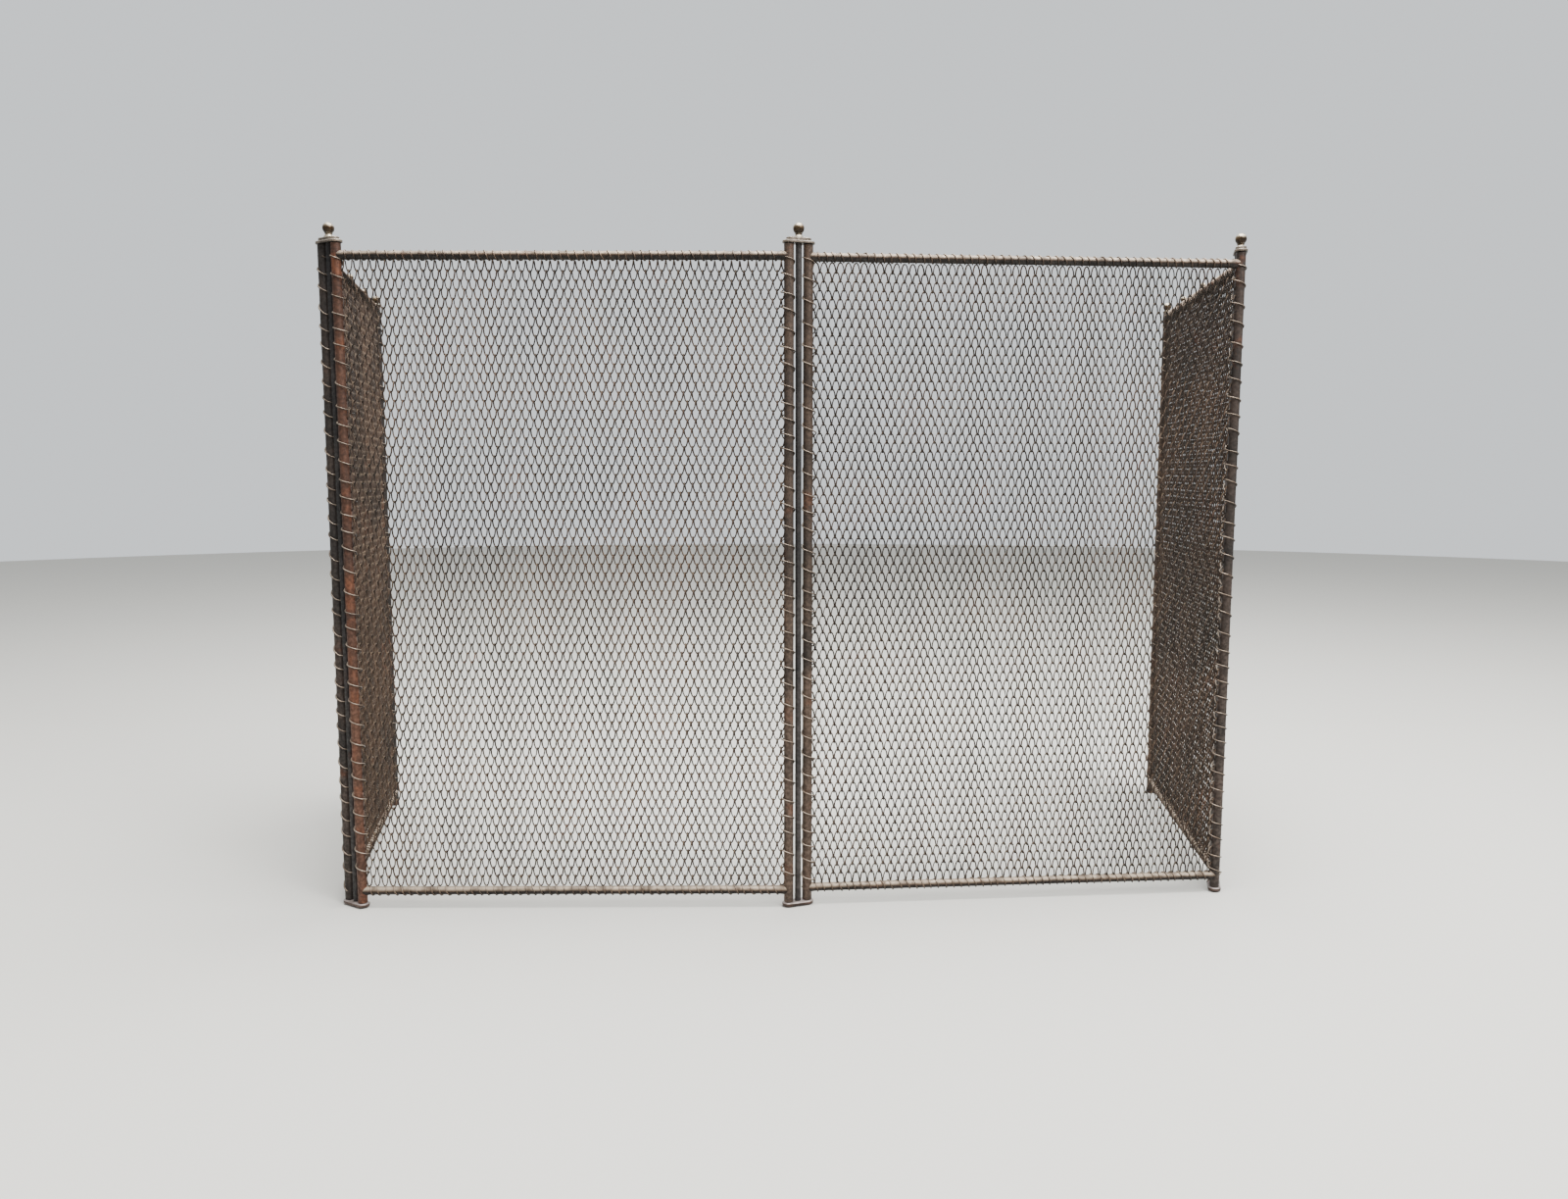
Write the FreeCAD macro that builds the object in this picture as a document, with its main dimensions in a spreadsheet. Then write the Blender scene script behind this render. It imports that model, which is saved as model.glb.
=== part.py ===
"""Folding fireplace screen: four wire panels hung on three two-pin links.

Each panel is a brazed frame of two round posts and two round rails with a woven wire
mesh laced into it. Neighbouring panels hang on a link: a foot cap and a top cap held
apart by a tie rod, with a pin in each cap for each post, so that both posts turn.

Millimetres, +Z up, the floor at Z = 0. The front faces -Y. The origin is on the floor
under the middle of the standing screen.
"""
import FreeCAD, Part
import math
import os

import Sketcher

Vector = FreeCAD.Vector
UP = Vector(0, 0, 1)

DIMENSIONS = {
    # Panels: distances between the axes of a panel's two posts.
    "front_width": 498,
    "side_width": 412,
    # Posts: solid bars, drilled at each end for a pivot pin or a finial.
    "post_radius": 5.5,
    "post_length": 750.4,
    "post_chamfer": 0.6,
    "end_gap": 0.3,
    "pin_radius": 2.95,
    "pin_play": 0.05,
    "pin_reach": 14,
    "pin_seat": 3,
    "drill_spare": 1.5,
    # Rails: round bars coped to the posts.
    "rail_radius": 4.75,
    "bottom_rail_height": 20,
    "top_rail_drop": 13.5,
    # Links: the gap between the tie rod and the lacing beside it, the caps and the rod.
    "rod_gap": 1.05,
    "cap_overhang": 1.8,
    "flange_thickness": 2.8,
    "boss_step": 1.4,
    "boss_setback": 2.9,
    "boss_thickness": 3.5,
    "cap_rounding": 0.7,
    "foot_overhang": 2.1,
    "foot_thickness": 5.5,
    "foot_rounding": 2.2,
    "rod_radius": 3.5,
    "tail_radius": 2.4,
    "tail_recess": 0.8,
    # Finials.
    "stud_radius": 2,
    "stud_grip": 10,
    "neck_height": 5,
    "neck_base_radius": 5.1,
    "neck_top_radius": 3.9,
    "ball_radius": 6.4,
    "ball_sink": 1.4,
    # The free end post of each side panel and its finial.
    "end_post_rise": 6.6,
    "end_collar_overhang": 0.7,
    "end_collar_height": 4,
    "end_collar_taper": 2.4,
    "end_ball_radius": 6,
    "end_ball_sink": 1.4,
    "end_plug_length": 10,
    # Ball knobs along the side panels' top rails.
    "knob_radius": 4.6,
    "knob_stem_radius": 2.2,
    "knob_lift": 8.2,
    "first_knob": 180,
    "knob_spacing": 115,
    # Wire: the lacing wound on the posts, and the mesh as a sheet of equal mass.
    "wire_radius": 0.7,
    "lacing_play": 0.05,
    "lacing_pitch": 21,
    "lacing_margin": 18,
    "mesh_thickness": 0.45,
    "mesh_gap": 0.35,
    # How the standing screen is folded: each part's direction seen from above.
    "centre_link_turn": 20,
    "front_right_turn": 4.3,
    "right_link_turn": 71.6,
    "right_side_turn": 82.1,
    "left_link_turn": 147.6,
    "left_side_turn": 101.5,
}

doc = FreeCAD.newDocument("FireplaceScreen")
sheet = doc.addObject("Spreadsheet::Sheet", "Dimensions")
for row, (alias, number) in enumerate(DIMENSIONS.items(), start=1):
    sheet.set(f"A{row}", alias)
    sheet.set(f"B{row}", str(number))
    sheet.setAlias(f"B{row}", alias)
doc.recompute()

# Sizes that several pieces share, as formulas of the driving dimensions.
FORMULAS = {
    "bore_radius": "pin_radius + pin_play",
    "bore_depth": "pin_reach + drill_spare",
    "post_base": "foot_thickness + end_gap",
    "post_top": "post_base + post_length",
    "cap_base": "post_top + end_gap",
    "boss_base": "cap_base + flange_thickness",
    "neck_base": "boss_base + boss_thickness",
    "top_rail_height": "post_top - top_rail_drop",
    "end_post_top": "top_rail_height + end_post_rise",
    "laced_radius": "post_radius + lacing_play + 2 * wire_radius",
    "lacing_start": "bottom_rail_height + lacing_margin",
    "lacing_turns": "floor( ( top_rail_height - lacing_margin - lacing_start ) / lacing_pitch ) + 1",
    "mesh_inset": "laced_radius + mesh_gap",
    "link_spacing": "2 * ( rod_radius + rod_gap + laced_radius )",
    "cap_radius": "post_radius + cap_overhang",
    "boss_radius": "cap_radius - boss_step",
    "boss_spacing": "link_spacing - 2 * boss_setback",
    "foot_radius": "post_radius + foot_overhang",
    "end_collar_radius": "post_radius + end_collar_overhang",
}


def formula(text):
    """Write the named sizes in a formula out as cells of the sheet."""
    words = text.replace("(", "( ").replace(")", " )").split()
    for place, word in enumerate(words):
        if word in FORMULAS:
            words[place] = "(" + formula(FORMULAS[word]) + ")"
        elif word in DIMENSIONS:
            words[place] = "Dimensions." + word
    return " ".join(words)


def size(text):
    """The present value of a formula, in millimetres or degrees."""
    return float(sheet.evalExpression(formula(text)))


def bind(thing, prop, text):
    """Tie a property to a formula of the driving dimensions."""
    thing.setExpression(prop, formula(text))


# ---------------------------------------------------------------- sketches and features


def new_body(name):
    """A body that may hold several separate solids."""
    body = doc.addObject("PartDesign::Body", name)
    body.Label = name
    body.AllowCompound = True
    return body


def origin_feature(body, role):
    """One of the body's own origin planes or axes."""
    return next(part for part in body.Origin.OriginFeatures if part.Role == role)


def new_sketch(body, role="XY_Plane", height=None):
    """A sketch on one of the body's origin planes, raised to a height."""
    sketch = body.newObject("Sketcher::SketchObject", body.Name + "_sketch")
    sketch.AttachmentSupport = [(origin_feature(body, role), "")]
    sketch.MapMode = "FlatFace"
    if height:
        bind(sketch, ".AttachmentOffset.Base.z", height)
    return sketch


def add_circle(sketch, radius, along=None, side=1):
    """A circle of a given radius, centred on the sketch's X axis."""
    centre = Vector(side * size(along) if along else 0, 0, 0)
    circle = sketch.addGeometry(Part.Circle(centre, UP, size(radius)), False)
    rule = sketch.addConstraint(Sketcher.Constraint("Radius", circle, size(radius)))
    bind(sketch, f"Constraints[{rule}]", radius)
    if along is None:
        sketch.addConstraint(Sketcher.Constraint("Coincident", circle, 3, -1, 1))
        return
    sketch.addConstraint(Sketcher.Constraint("PointOnObject", circle, 3, -1))
    ends = (-1, 1, circle, 3) if side > 0 else (circle, 3, -1, 1)
    rule = sketch.addConstraint(Sketcher.Constraint("DistanceX", *ends, size(along)))
    bind(sketch, f"Constraints[{rule}]", along)


def add_stadium(sketch, radius, spacing):
    """A slot outline: two half circles joined by tangent lines, centred on the origin."""
    r, half = size(radius), size(spacing) / 2
    quarter = math.pi / 2
    right = Part.ArcOfCircle(Part.Circle(Vector(half, 0, 0), UP, r), -quarter, quarter)
    top = Part.LineSegment(Vector(half, r, 0), Vector(-half, r, 0))
    left = Part.ArcOfCircle(Part.Circle(Vector(-half, 0, 0), UP, r), quarter, 3 * quarter)
    bottom = Part.LineSegment(Vector(-half, -r, 0), Vector(half, -r, 0))
    first = sketch.addGeometry([right, top, left, bottom], False)[0]
    arcs = (first, first + 2)
    for step in range(4):
        this, following = first + step, first + (step + 1) % 4
        sketch.addConstraint(Sketcher.Constraint("Tangent", this, 2, following, 1))
    sketch.addConstraint(Sketcher.Constraint("Equal", *arcs))
    sketch.addConstraint(Sketcher.Constraint("PointOnObject", first, 3, -1))
    sketch.addConstraint(Sketcher.Constraint("Symmetric", arcs[0], 3, arcs[1], 3, -1, 1))
    rule = sketch.addConstraint(Sketcher.Constraint("Radius", first, r))
    bind(sketch, f"Constraints[{rule}]", radius)
    rule = sketch.addConstraint(
        Sketcher.Constraint("DistanceX", arcs[1], 3, arcs[0], 3, 2 * half)
    )
    bind(sketch, f"Constraints[{rule}]", spacing)


def pad(body, sketch, length):
    """Push a sketch out along its normal."""
    feature = body.newObject("PartDesign::Pad", body.Name + "_pad")
    feature.Profile = sketch
    bind(feature, "Length", length)
    doc.recompute()
    return feature


def pocket(body, sketch, depth=None, upward=False):
    """Cut a sketch into the body, or right through it, and check that it cut."""
    before = body.Shape.Volume
    feature = body.newObject("PartDesign::Pocket", body.Name + "_pocket")
    feature.Profile = sketch
    feature.Reversed = upward
    if depth:
        bind(feature, "Length", depth)
    else:
        feature.Type = "ThroughAll"
        feature.Midplane = True
    doc.recompute()
    if body.Shape.Volume >= before:
        raise RuntimeError(f"{body.Name}: the pocket cut nothing")
    return feature


def edges_at(shape, height):
    """Names of the edges that lie level at a height."""
    nearly = 0.01
    names = []
    for number, edge in enumerate(shape.Edges, start=1):
        box = edge.BoundBox
        if abs(box.ZMin - height) < nearly and abs(box.ZMax - height) < nearly:
            names.append(f"Edge{number}")
    return names


def soften(body, kind, prop, width, height):
    """Round or bevel every edge that lies level at a height."""
    base = body.Tip
    feature = body.newObject("PartDesign::" + kind, f"{body.Name}_{kind.lower()}")
    feature.Base = (base, edges_at(base.Shape, size(height)))
    bind(feature, prop, width)
    doc.recompute()
    return feature


def primitive(kind, name, placement, **sizes):
    """A plain solid of the Part workbench, with its sizes tied to formulas."""
    solid = doc.addObject("Part::" + kind, name)
    for prop, text in sizes.items():
        bind(solid, prop, text)
    solid.Placement = placement
    return solid


def at(x=0.0, y=0.0, z=0.0, turn=0.0, axis=UP):
    """A placement from a position and a turn in degrees about an axis."""
    return FreeCAD.Placement(Vector(x, y, z), FreeCAD.Rotation(axis, turn))


# ---------------------------------------------------------------- pieces of a panel
# A panel stands along its own X axis: the near post at X = 0, the far post at its width.


def make_post(name, place, along=None, end_post=False):
    """A round bar standing on its lower pin, or on the floor at a panel's free end."""
    base = "0 * post_base" if end_post else "post_base"
    top = "end_post_top" if end_post else "post_top"
    body = new_body(name)
    outline = new_sketch(body, height=base)
    add_circle(outline, "post_radius", along)
    pad(body, outline, f"{top} - ( {base} )")
    for height in (base, top):
        soften(body, "Chamfer", "Size", "post_chamfer", height)
    if not end_post:
        lower = new_sketch(body, height=base)
        add_circle(lower, "bore_radius", along)
        pocket(body, lower, "bore_depth", upward=True)
    upper = new_sketch(body, height=top)
    add_circle(upper, "pin_radius" if end_post else "bore_radius", along)
    pocket(body, upper, "end_plug_length" if end_post else "bore_depth")
    body.Placement = place
    return body


def make_rail(name, place, width, height):
    """A round bar between the posts, its ends coped to fit against them."""
    body = new_body(name)
    outline = new_sketch(body, "YZ_Plane")
    circle = outline.addGeometry(
        Part.Circle(Vector(0, size(height), 0), UP, size("rail_radius")), False
    )
    rule = outline.addConstraint(
        Sketcher.Constraint("Radius", circle, size("rail_radius"))
    )
    bind(outline, f"Constraints[{rule}]", "rail_radius")
    outline.addConstraint(Sketcher.Constraint("PointOnObject", circle, 3, -2))
    rule = outline.addConstraint(
        Sketcher.Constraint("DistanceY", -1, 1, circle, 3, size(height))
    )
    bind(outline, f"Constraints[{rule}]", height)
    pad(body, outline, width)
    for along in (None, width):
        cope = new_sketch(body)
        add_circle(cope, "post_radius", along)
        pocket(body, cope)
    body.Placement = place
    return body


def make_lacing(name, place, along=None):
    """The wire that binds the mesh to a post, as separate rings, one for each turn."""
    body = new_body(name)
    outline = new_sketch(body, height="lacing_start")
    for radius in ("lacing_play + post_radius", "laced_radius"):
        add_circle(outline, radius, along)
    ring = pad(body, outline, "2 * wire_radius")
    turns = body.newObject("PartDesign::LinearPattern", name + "_turns")
    turns.Originals = [ring]
    turns.Direction = (origin_feature(body, "Z_Axis"), [""])
    bind(turns, "Length", "lacing_pitch * ( lacing_turns - 1 )")
    bind(turns, "Occurrences", "lacing_turns")
    body.Tip = turns
    doc.recompute()
    body.Placement = place
    return body


def make_mesh(name, place, width):
    """The woven mesh, as a flat sheet that holds as much metal as its wires do."""
    low = size("bottom_rail_height + rail_radius")
    local = at(size("mesh_inset"), -size("mesh_thickness") / 2, low)
    return primitive(
        "Box",
        name,
        place.multiply(local),
        Length=f"{width} - 2 * mesh_inset",
        Width="mesh_thickness",
        Height="top_rail_height - bottom_rail_height - 2 * rail_radius",
    )


def make_end_finial(name, place, along):
    """A ball on a collar, plugged into the top of a side panel's free end post."""
    x, top = size(along), size("end_post_top")
    plug = primitive(
        "Cylinder",
        name + "_plug",
        place.multiply(at(x, 0, top - size("end_plug_length"))),
        Radius="pin_radius",
        Height="end_plug_length + end_collar_height",
    )
    collar = primitive(
        "Cone",
        name + "_collar",
        place.multiply(at(x, 0, top)),
        Radius1="end_collar_radius",
        Radius2="end_collar_radius - end_collar_taper",
        Height="end_collar_height",
    )
    ball_height = top + size("end_collar_height + end_ball_radius - end_ball_sink")
    ball = primitive(
        "Sphere",
        name + "_ball",
        place.multiply(at(x, 0, ball_height)),
        Radius="end_ball_radius",
    )
    finial = doc.addObject("Part::MultiFuse", name)
    finial.Shapes = [plug, collar, ball]
    return finial


def make_knobs(name, place, width):
    """Two small ball knobs seated on a side panel's top rail."""
    rail_height = size("top_rail_height")
    pieces = []
    for number in range(2):
        x = size(f"first_knob + {number} * knob_spacing")
        stem = primitive(
            "Cylinder",
            f"{name}_stem_{number}",
            place.multiply(at(x, 0, rail_height)),
            Radius="knob_stem_radius",
            Height="knob_lift",
        )
        ball = primitive(
            "Sphere",
            f"{name}_ball_{number}",
            place.multiply(at(x, 0, rail_height + size("knob_lift"))),
            Radius="knob_radius",
        )
        pieces += [stem, ball]
    joined = doc.addObject("Part::MultiFuse", name + "_whole")
    joined.Shapes = pieces
    rail = primitive(
        "Cylinder",
        name + "_rail",
        place.multiply(at(0, 0, rail_height, 90, Vector(0, 1, 0))),
        Radius="rail_radius",
        Height=width,
    )
    knobs = doc.addObject("Part::Cut", name)
    knobs.Base = joined
    knobs.Tool = rail
    return knobs


def make_front_panel(name, place, posts):
    """A front panel; posts names its near and far post as outer or inner."""
    width = "front_width"
    pieces = []
    for post, along in zip(posts, (None, width)):
        pieces.append(make_post(f"{name}_{post}_post", place, along))
        pieces.append(make_lacing(f"{name}_{post}_lacing", place, along))
    pieces.append(make_rail(name + "_bottom_rail", place, width, "bottom_rail_height"))
    pieces.append(make_rail(name + "_top_rail", place, width, "top_rail_height"))
    pieces.append(make_mesh(name + "_mesh", place, width))
    return pieces


def make_side_panel(name, place):
    """A side panel; its rear post is free, stands on the floor and carries a finial."""
    width = "side_width"
    return [
        make_post(name + "_front_post", place),
        make_lacing(name + "_front_lacing", place),
        make_post(name + "_rear_post", place, width, end_post=True),
        make_lacing(name + "_rear_lacing", place, width),
        make_rail(name + "_bottom_rail", place, width, "bottom_rail_height"),
        make_rail(name + "_top_rail", place, width, "top_rail_height"),
        make_mesh(name + "_mesh", place, width),
        make_end_finial(name + "_end_finial", place, width),
        make_knobs(name + "_rail_knobs", place, width),
    ]


# ---------------------------------------------------------------- pieces of a link
# A link lies along its own X axis with the tie rod at X = 0 and a post each side of it.


def make_top_cap(name, place):
    """An oblong flange with a smaller raised boss, drilled for two pins and the stud."""
    body = new_body(name)
    flange = new_sketch(body, height="cap_base")
    add_stadium(flange, "cap_radius", "link_spacing")
    pad(body, flange, "flange_thickness")
    soften(body, "Fillet", "Radius", "cap_rounding", "boss_base")
    boss = new_sketch(body, height="boss_base")
    add_stadium(boss, "boss_radius", "boss_spacing")
    pad(body, boss, "boss_thickness")
    soften(body, "Fillet", "Radius", "cap_rounding", "neck_base")
    seats = new_sketch(body, height="cap_base")
    for side in (-1, 1):
        add_circle(seats, "pin_radius", "link_spacing / 2", side)
    pocket(body, seats, "pin_seat", upward=True)
    hole = new_sketch(body, height="cap_base")
    add_circle(hole, "stud_radius")
    pocket(body, hole)
    body.Placement = place
    return body


def make_foot_cap(name, place):
    """An oblong foot with a rounded underside, drilled for two pins and the rod's tail."""
    body = new_body(name)
    outline = new_sketch(body)
    add_stadium(outline, "foot_radius", "link_spacing")
    pad(body, outline, "foot_thickness")
    soften(body, "Fillet", "Radius", "foot_rounding", "0 * foot_thickness")
    soften(body, "Fillet", "Radius", "cap_rounding", "foot_thickness")
    seats = new_sketch(body, height="foot_thickness")
    for side in (-1, 1):
        add_circle(seats, "pin_radius", "link_spacing / 2", side)
    pocket(body, seats, "pin_seat")
    hole = new_sketch(body, height="foot_thickness")
    add_circle(hole, "tail_radius")
    pocket(body, hole)
    body.Placement = place
    return body


def make_tie_rod(name, place):
    """The rod that holds the caps apart, riveted below and drilled above for the finial."""
    body = new_body(name)
    shank = new_sketch(body, height="foot_thickness")
    add_circle(shank, "rod_radius")
    pad(body, shank, "cap_base - foot_thickness")
    tail = new_sketch(body, height="tail_recess")
    add_circle(tail, "tail_radius")
    pad(body, tail, "foot_thickness - tail_recess")
    thread = new_sketch(body, height="cap_base")
    add_circle(thread, "stud_radius")
    pocket(body, thread, "stud_grip + drill_spare")
    body.Placement = place
    return body


def make_pins(name, place, height, length):
    """Two pivot pins, one on each post's axis."""
    body = new_body(name)
    outline = new_sketch(body, height=height)
    for side in (-1, 1):
        add_circle(outline, "pin_radius", "link_spacing / 2", side)
    pad(body, outline, length)
    body.Placement = place
    return body


def make_finial(name, place):
    """A ball on a flared neck, with the stud that screws into the tie rod."""
    base = size("neck_base")
    stud = primitive(
        "Cylinder",
        name + "_stud",
        place.multiply(at(0, 0, size("cap_base - stud_grip"))),
        Radius="stud_radius",
        Height="stud_grip + flange_thickness + boss_thickness + neck_height",
    )
    neck = primitive(
        "Cone",
        name + "_neck",
        place.multiply(at(0, 0, base)),
        Radius1="neck_base_radius",
        Radius2="neck_top_radius",
        Height="neck_height",
    )
    ball_height = base + size("neck_height + ball_radius - ball_sink")
    ball = primitive(
        "Sphere",
        name + "_ball",
        place.multiply(at(0, 0, ball_height)),
        Radius="ball_radius",
    )
    finial = doc.addObject("Part::MultiFuse", name)
    finial.Shapes = [stud, neck, ball]
    return finial


def make_link(name, place):
    """The six pieces of one link."""
    pin_length = "pin_seat + end_gap + pin_reach"
    return [
        make_foot_cap(name + "_foot_cap", place),
        make_tie_rod(name + "_tie_rod", place),
        make_top_cap(name + "_top_cap", place),
        make_finial(name + "_finial", place),
        make_pins(name + "_lower_pins", place, "foot_thickness - pin_seat", pin_length),
        make_pins(name + "_upper_pins", place, "post_top - pin_reach", pin_length),
    ]


# ---------------------------------------------------------------- the folded chain


def step(start, length, turn):
    """The point at a distance from another, in a direction given in degrees."""
    angle = math.radians(size(turn))
    return start + Vector(math.cos(angle), math.sin(angle), 0) * size(length)


def link_between(name, first_post, turn):
    """A link whose first post axis stands at a point."""
    middle = step(first_post, "link_spacing / 2", turn)
    return make_link(name, at(middle.x, middle.y, 0, size(turn)))


left_corner = Vector(0, 0, 0)
centre_left = left_corner + Vector(size("front_width"), 0, 0)
centre_right = step(centre_left, "link_spacing", "centre_link_turn")
right_corner = step(centre_right, "front_width", "front_right_turn")
right_side_start = step(right_corner, "link_spacing", "right_link_turn")
left_side_start = step(left_corner, "link_spacing", "left_link_turn")


def standing_at(point, turn):
    """Where a panel stands whose near post's axis is at a point."""
    return at(point.x, point.y, 0, size(turn))


pieces = make_front_panel("front_left", at(), ("outer", "inner"))
pieces += link_between("centre_link", centre_left, "centre_link_turn")
pieces += make_front_panel(
    "front_right", standing_at(centre_right, "front_right_turn"), ("inner", "outer")
)
pieces += link_between("right_link", right_corner, "right_link_turn")
pieces += make_side_panel("right_side", standing_at(right_side_start, "right_side_turn"))
pieces += link_between("left_link", left_corner, "left_link_turn")
pieces += make_side_panel("left_side", standing_at(left_side_start, "left_side_turn"))
doc.recompute()

# The origin moves to the floor under the middle of the whole standing screen.
boxes = [piece.Shape.optimalBoundingBox(False, False) for piece in pieces]
middle = Vector(
    (min(box.XMin for box in boxes) + max(box.XMax for box in boxes)) / 2,
    (min(box.YMin for box in boxes) + max(box.YMax for box in boxes)) / 2,
    0,
)
for piece in pieces:
    piece.Placement.Base = piece.Placement.Base - middle
doc.recompute()

for thing in doc.Objects:
    if "Invalid" in thing.State or "Error" in thing.State:
        raise RuntimeError(f"{thing.Name} failed: {thing.State}")
for piece in pieces:
    if piece.Shape.isNull() or not piece.Shape.isValid():
        raise RuntimeError(f"{piece.Name} has no valid shape")

os.makedirs("parts", exist_ok=True)
for piece in pieces:
    piece.Shape.exportStep(f"parts/{piece.Name}.step")
print(f"{len(pieces)} pieces written")
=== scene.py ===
# %% [markdown]
# # A folding fireplace screen
#
# Four panels of woven wire hang on three iron links. The bars and pins come from the
# engineering model and stay exactly where it puts them. This lesson adds what such a model
# leaves out: the weave itself, the wire that binds it to the bars, turned brass, worn caps,
# and the skin of old iron. The first cell loads that model as a fixed frame, in metres.

# %% Load the frame
import math
import random

import bpy
from mathutils import Matrix, Vector


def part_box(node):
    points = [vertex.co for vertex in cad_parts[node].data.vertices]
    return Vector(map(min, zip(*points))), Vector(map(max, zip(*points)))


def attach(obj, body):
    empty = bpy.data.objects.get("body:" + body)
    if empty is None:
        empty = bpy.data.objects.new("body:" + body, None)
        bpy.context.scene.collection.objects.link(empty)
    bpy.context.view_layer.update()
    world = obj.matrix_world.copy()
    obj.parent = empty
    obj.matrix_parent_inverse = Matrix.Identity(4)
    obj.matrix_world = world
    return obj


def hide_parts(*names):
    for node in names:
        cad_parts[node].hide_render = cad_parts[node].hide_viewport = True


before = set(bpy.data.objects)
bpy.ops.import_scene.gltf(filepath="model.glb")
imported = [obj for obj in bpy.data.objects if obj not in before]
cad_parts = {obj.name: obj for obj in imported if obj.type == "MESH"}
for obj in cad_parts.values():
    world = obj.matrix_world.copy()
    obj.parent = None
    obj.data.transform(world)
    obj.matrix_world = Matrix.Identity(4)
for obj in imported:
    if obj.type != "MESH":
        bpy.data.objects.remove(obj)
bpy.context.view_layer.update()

# %% [markdown]
# ## Working sizes
#
# A screen like this is made from stock: a few bars and two reels of wire. Each size is read
# off the frame where the frame holds it, so nothing has to be fitted afterwards, and the wire
# gets its names here. Small random draws come from one seeded source, so every run is the same.

# %% Sizes read from the frame
MM = 0.001
WIRE = 0.86 * MM         # half the thickness of the weaving wire, across its corners
BINDING = 0.8 * MM       # radius of the rounder wire that binds the weave to the bars
SEAT = 0.9 * BINDING     # how far the middle of the binding wire stands off its bar
CELL = 9.07 * MM         # width of one loop of the weave
DRAW = random.Random(7)  # the uneven turns of the post lacings come from here


def middle(node):
    """The middle of a node's box."""
    low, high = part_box(node)
    return (low + high) / 2


def extent(node):
    """The size of a node's box along X, Y and Z."""
    low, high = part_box(node)
    return high - low


post_radius = extent("front_left_outer_post").x / 2
rail_radius = extent("front_left_top_rail").z / 2
print("post radius", round(post_radius / MM, 2), "rail radius", round(rail_radius / MM, 2))

# %% [markdown]
# ## A panel's own directions
#
# Each panel stands at its own angle. It is easiest to build one lying along X with its near
# post at the origin, and then to turn it into place, as a maker lays a frame flat on a bench.
# The turn and the place both come from where the frame's two posts stand.

# %% The four panels
PANELS = {
    "front_left": ("front_left_panel", "outer_post", "inner_post", 70, False),
    "front_right": ("front_right_panel", "inner_post", "outer_post", 72, True),
    "left_side": ("left_side_panel", "front_post", "rear_post", 70, False),
    "right_side": ("right_side_panel", "front_post", "rear_post", 72, True),
}


def bench_to(start, end):
    """The matrix that takes a piece from the bench to a line between two points."""
    turn = math.atan2(end.y - start.y, end.x - start.x)
    return Matrix.Translation((start.x, start.y, 0)) @ Matrix.Rotation(turn, 4, "Z")


def panel_place(name):
    """A panel's place and its width between the axes of its posts."""
    _, near, far, _, _ = PANELS[name]
    start, end = middle(f"{name}_{near}"), middle(f"{name}_{far}")
    return bench_to(start, end), math.hypot(end.x - start.x, end.y - start.y)


for name in PANELS:
    place, width = panel_place(name)
    turn = math.degrees(place.to_euler().z)
    print(name, "width", round(width / MM, 1), "turned", round(turn, 1))

# %% [markdown]
# ## Small helpers for the bench
#
# Blender's operators act on whatever is selected, so the first habit is to clear the selection.
# The second is to bake a finished piece's place into its mesh, so that its object sits at the
# origin and any pattern on it stays put.

# %% Bench helpers


def only(piece):
    """Select one piece alone and make it the active one."""
    bpy.ops.object.select_all(action="DESELECT")
    piece.select_set(True)
    bpy.context.view_layer.objects.active = piece
    return piece


def settle(piece, place):
    """Move a piece from the bench to its place and bake that into its mesh."""
    only(piece)
    piece.matrix_world = place
    bpy.ops.object.transform_apply(location=True, rotation=True, scale=True)
    return piece


def copy_of(piece, name):
    """A copy with its own mesh."""
    only(piece)
    bpy.ops.object.duplicate()
    return named(bpy.context.active_object, name)


def named(piece, name):
    """Give a piece and its mesh the same name."""
    piece.name = piece.data.name = name
    return piece


def join(pieces, name):
    """Several pieces made one."""
    only(pieces[0])
    for piece in pieces[1:]:
        piece.select_set(True)
    bpy.ops.object.join()
    return named(bpy.context.active_object, name)


def smooth(piece, degrees=100):
    """Shade a piece smooth, apart from edges sharper than an angle."""
    only(piece)
    bpy.ops.object.shade_smooth_by_angle(angle=math.radians(degrees))
    return piece


def modify(piece, kind, **settings):
    """Add a modifier, set it up and apply it."""
    only(piece)
    modifier = piece.modifiers.new(kind.title(), kind)
    for setting, value in settings.items():
        setattr(modifier, setting, value)
    bpy.ops.object.modifier_apply(modifier=modifier.name)
    return piece


print("bench helpers ready")

# %% [markdown]
# ## Drawing with wire
#
# Wire needs two helpers. One draws a line by extruding a single vertex from point to point,
# as a pencil would. The other gives a line its thickness: it becomes a curve, the curve gets a
# bevel of a few flat sides, and the result is made a mesh again. Four sides are enough for the
# weave, and the binding wire has six.

# %% Wire helpers


def chain(name, points):
    """A line of vertices, drawn by extruding one vertex from point to point."""
    bpy.ops.object.select_all(action="DESELECT")
    bpy.ops.mesh.primitive_plane_add(size=MM, location=(0, 0, 0))
    line = named(bpy.context.active_object, name)
    bpy.ops.object.mode_set(mode="EDIT")
    bpy.ops.mesh.merge(type="CENTER")
    bpy.ops.transform.translate(value=points[0])
    for start, end in zip(points, points[1:]):
        step = Vector(end) - Vector(start)
        bpy.ops.mesh.extrude_region_move(TRANSFORM_OT_translate={"value": step})
    bpy.ops.object.mode_set(mode="OBJECT")
    return line


def thicken(line, radius, sides=4):
    """Turn a line of vertices into wire."""
    only(line)
    bpy.ops.object.convert(target="CURVE")
    curve = line.data
    curve.dimensions = "3D"
    curve.bevel_depth = radius
    curve.bevel_resolution = sides // 2 - 2
    curve.use_fill_caps = True
    bpy.ops.object.convert(target="MESH")
    return line


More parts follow.
